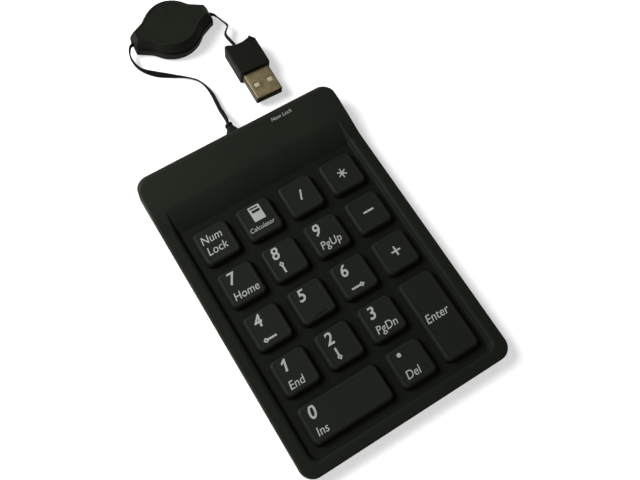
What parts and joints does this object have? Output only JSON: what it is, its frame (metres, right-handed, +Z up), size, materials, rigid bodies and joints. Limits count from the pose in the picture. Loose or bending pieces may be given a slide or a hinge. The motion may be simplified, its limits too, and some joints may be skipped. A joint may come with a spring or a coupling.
{
  "type": "numeric keypad",
  "caption": "Slim numeric keypad with a soft moulded skin, a raised rear header and springy keys, on a flat ribbon cord that runs through a cord reel to a plug.",
  "frame": {"origin": "bottom centre of the keypad, without its cord, reel and plug", "axes": "+X to the right of someone typing, +Y to the rear edge where the cord leaves, +Z up"},
  "size_m": [0.09, 0.1997, 0.0112],
  "materials": {
    "skin": "matt moulded silicone, charcoal with a slight green cast",
    "key": "matt moulded silicone with printed white legends",
    "base": "fine moulded texture",
    "film": "clear polyester film with printed tracks",
    "spacer": "milky polyester film",
    "board": "solder mask over glass-fibre board",
    "resin": "poured black resin",
    "steel": "plated steel",
    "white_plastic": "natural white moulded plastic",
    "wire_red": "insulated wire",
    "wire_white": "insulated wire",
    "wire_green": "insulated wire",
    "wire_black": "insulated wire",
    "cord": "smooth soft black ribbon cord",
    "reel": "black plastic with a soft satin texture",
    "plug_moulding": "black moulding with a fine grain",
    "nickel": "dull nickel plate, slightly brown",
    "gold": "gold plate"
  },
  "bodies": {
    "root": {"top_cover": "skin", "strain_relief": "skin", "base_cover": "base", "membrane_lower_sheet": "film", "membrane_upper_sheet": "film", "membrane_spacer": "spacer", "controller_board": "board", "controller_chip": "resin", "capacitor": "resin", "tail_clamp_bar": "steel", "clamp_screw_left": "steel", "clamp_screw_right": "steel", "crystal": "steel", "reel_screw": "steel", "reel_spring": "steel", "ratchet_ball": "steel", "cable_socket": "white_plastic", "num_lock_led": "white_plastic", "plug_tongue": "white_plastic", "wire_red": "wire_red", "wire_white": "wire_white", "wire_green": "wire_green", "wire_black": "wire_black", "keypad_cord": "cord", "plug_cord": "cord", "reel_upper_case": "reel", "reel_lower_case": "reel", "plug_body": "plug_moulding", "plug_shell": "nickel", "plug_contact_1": "gold", "plug_contact_2": "gold", "plug_contact_3": "gold", "plug_contact_4": "gold"},
    "key_num_lock_body": {"key_num_lock": "key"},
    "key_calculator_body": {"key_calculator": "key"},
    "key_divide_body": {"key_divide": "key"},
    "key_multiply_body": {"key_multiply": "key"},
    "key_7_body": {"key_7": "key"},
    "key_8_body": {"key_8": "key"},
    "key_9_body": {"key_9": "key"},
    "key_minus_body": {"key_minus": "key"},
    "key_4_body": {"key_4": "key"},
    "key_5_body": {"key_5": "key"},
    "key_6_body": {"key_6": "key"},
    "key_plus_body": {"key_plus": "key"},
    "key_1_body": {"key_1": "key"},
    "key_2_body": {"key_2": "key"},
    "key_3_body": {"key_3": "key"},
    "key_enter_body": {"key_enter": "key"},
    "key_0_body": {"key_0": "key"},
    "key_decimal_body": {"key_decimal": "key"},
    "spool_body": {"reel_spool": "white_plastic", "wound_cord": "cord"}
  },
  "joints": [
    {"name": "key_num_lock_press", "type": "slide", "parent": "root", "child": "key_num_lock_body", "axis": [0, 0, -1], "range_m": [0, 0.0015], "stiffness_N_per_m": 400},
    {"name": "key_calculator_press", "type": "slide", "parent": "root", "child": "key_calculator_body", "axis": [0, 0, -1], "range_m": [0, 0.0015], "stiffness_N_per_m": 400},
    {"name": "key_divide_press", "type": "slide", "parent": "root", "child": "key_divide_body", "axis": [0, 0, -1], "range_m": [0, 0.0015], "stiffness_N_per_m": 400},
    {"name": "key_multiply_press", "type": "slide", "parent": "root", "child": "key_multiply_body", "axis": [0, 0, -1], "range_m": [0, 0.0015], "stiffness_N_per_m": 400},
    {"name": "key_7_press", "type": "slide", "parent": "root", "child": "key_7_body", "axis": [0, 0, -1], "range_m": [0, 0.0015], "stiffness_N_per_m": 400},
    {"name": "key_8_press", "type": "slide", "parent": "root", "child": "key_8_body", "axis": [0, 0, -1], "range_m": [0, 0.0015], "stiffness_N_per_m": 400},
    {"name": "key_9_press", "type": "slide", "parent": "root", "child": "key_9_body", "axis": [0, 0, -1], "range_m": [0, 0.0015], "stiffness_N_per_m": 400},
    {"name": "key_minus_press", "type": "slide", "parent": "root", "child": "key_minus_body", "axis": [0, 0, -1], "range_m": [0, 0.0015], "stiffness_N_per_m": 400},
    {"name": "key_4_press", "type": "slide", "parent": "root", "child": "key_4_body", "axis": [0, 0, -1], "range_m": [0, 0.0015], "stiffness_N_per_m": 400},
    {"name": "key_5_press", "type": "slide", "parent": "root", "child": "key_5_body", "axis": [0, 0, -1], "range_m": [0, 0.0015], "stiffness_N_per_m": 400},
    {"name": "key_6_press", "type": "slide", "parent": "root", "child": "key_6_body", "axis": [0, 0, -1], "range_m": [0, 0.0015], "stiffness_N_per_m": 400},
    {"name": "key_plus_press", "type": "slide", "parent": "root", "child": "key_plus_body", "axis": [0, 0, -1], "range_m": [0, 0.0015], "stiffness_N_per_m": 400},
    {"name": "key_1_press", "type": "slide", "parent": "root", "child": "key_1_body", "axis": [0, 0, -1], "range_m": [0, 0.0015], "stiffness_N_per_m": 400},
    {"name": "key_2_press", "type": "slide", "parent": "root", "child": "key_2_body", "axis": [0, 0, -1], "range_m": [0, 0.0015], "stiffness_N_per_m": 400},
    {"name": "key_3_press", "type": "slide", "parent": "root", "child": "key_3_body", "axis": [0, 0, -1], "range_m": [0, 0.0015], "stiffness_N_per_m": 400},
    {"name": "key_enter_press", "type": "slide", "parent": "root", "child": "key_enter_body", "axis": [0, 0, -1], "range_m": [0, 0.0015], "stiffness_N_per_m": 400},
    {"name": "key_0_press", "type": "slide", "parent": "root", "child": "key_0_body", "axis": [0, 0, -1], "range_m": [0, 0.0015], "stiffness_N_per_m": 400},
    {"name": "key_decimal_press", "type": "slide", "parent": "root", "child": "key_decimal_body", "axis": [0, 0, -1], "range_m": [0, 0.0015], "stiffness_N_per_m": 400},
    {"name": "reel_spool_spin", "type": "hinge", "parent": "root", "child": "spool_body", "pos_m": [0.00305, 0.12195, 0.00445], "axis": [0, 0, 1], "range_deg": [-105, 1205]}
  ]
}
